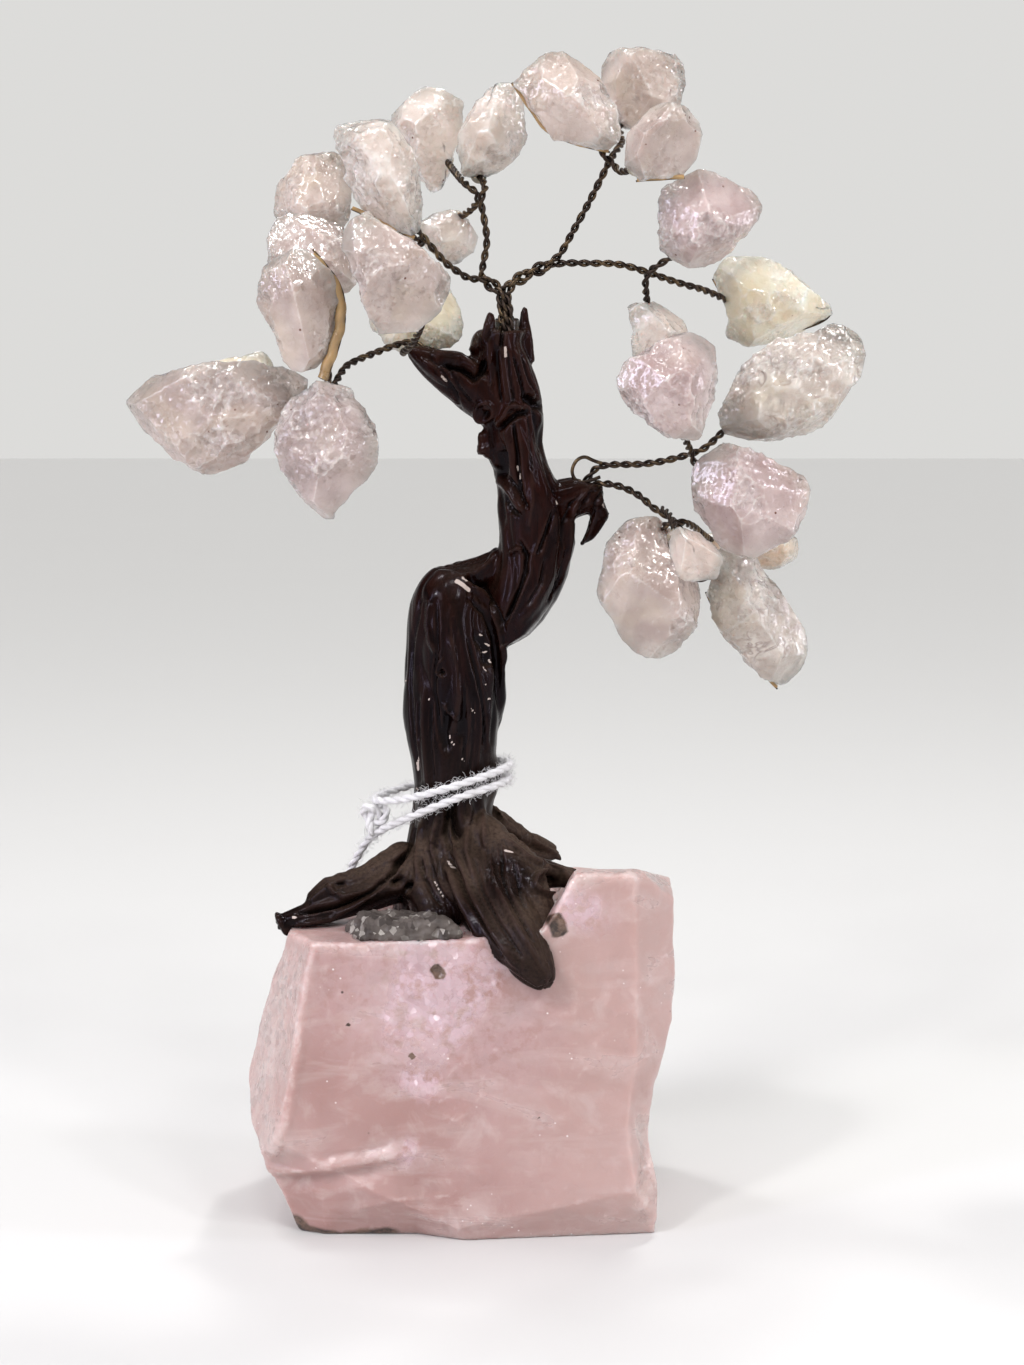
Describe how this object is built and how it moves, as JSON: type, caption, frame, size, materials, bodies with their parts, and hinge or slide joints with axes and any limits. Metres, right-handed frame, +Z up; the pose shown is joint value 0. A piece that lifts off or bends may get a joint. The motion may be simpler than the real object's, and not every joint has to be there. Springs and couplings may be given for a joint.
{
  "type": "gemstone tree ornament",
  "caption": "Small ornamental tree: rough quartz chunks as leaves on twisted wire twigs, in a dark lacquered gnarled trunk that stands on a broken rose quartz block.",
  "frame": {"origin": "on the base stone's flat resting face, below the trunk's foot", "axes": "+Z up, +X to the right and +Y to the back as seen from the front"},
  "size_m": [0.1409, 0.0622, 0.2306],
  "materials": {
    "rose_quartz": "broken, waxy",
    "trunk_lacquer": "dark brown lacquer, glossy, dusty on top",
    "bedding_putty": "grainy, matt",
    "leaf_quartz": "broken crystal, glossy",
    "twig_wire": "dark antique coating, worn bright on its edges",
    "clear_glue": "aged clear glue, glossy",
    "cotton_string": "two-ply cotton twine, fuzzy"
  },
  "bodies": {
    "root": {"base_stone": "rose_quartz", "trunk": "trunk_lacquer", "bedding_putty": "bedding_putty", "leaf_stone_01": "leaf_quartz", "leaf_stone_02": "leaf_quartz", "leaf_stone_03": "leaf_quartz", "leaf_stone_04": "leaf_quartz", "leaf_stone_05": "leaf_quartz", "leaf_stone_06": "leaf_quartz", "leaf_stone_07": "leaf_quartz", "leaf_stone_08": "leaf_quartz", "leaf_stone_09": "leaf_quartz", "leaf_stone_10": "leaf_quartz", "leaf_stone_11": "leaf_quartz", "leaf_stone_12": "leaf_quartz", "leaf_stone_13": "leaf_quartz", "leaf_stone_14": "leaf_quartz", "leaf_stone_15": "leaf_quartz", "leaf_stone_16": "leaf_quartz", "leaf_stone_17": "leaf_quartz", "leaf_stone_18": "leaf_quartz", "leaf_stone_19": "leaf_quartz", "leaf_stone_20": "leaf_quartz", "leaf_stone_21": "leaf_quartz", "leaf_stone_22": "leaf_quartz", "leaf_stone_23": "leaf_quartz", "leaf_stone_24": "leaf_quartz", "leaf_stone_25": "leaf_quartz", "crown_wire_1": "twig_wire", "crown_wire_2": "twig_wire", "crown_wire_3": "twig_wire", "crown_wire_4": "twig_wire", "left_arm_wire": "twig_wire", "right_arm_wire_upper": "twig_wire", "right_arm_wire_lower": "twig_wire", "cross_wire_1": "twig_wire", "cross_wire_2": "twig_wire", "cross_wire_3": "twig_wire", "cross_wire_4": "twig_wire", "cross_wire_5": "twig_wire", "cross_wire_6": "twig_wire", "cross_wire_7": "twig_wire", "cross_wire_8": "twig_wire", "side_twig_1": "twig_wire", "side_twig_2": "twig_wire", "leaf_glue": "clear_glue", "socket_glue": "clear_glue", "tag_string": "cotton_string"}
  },
  "joints": []
}
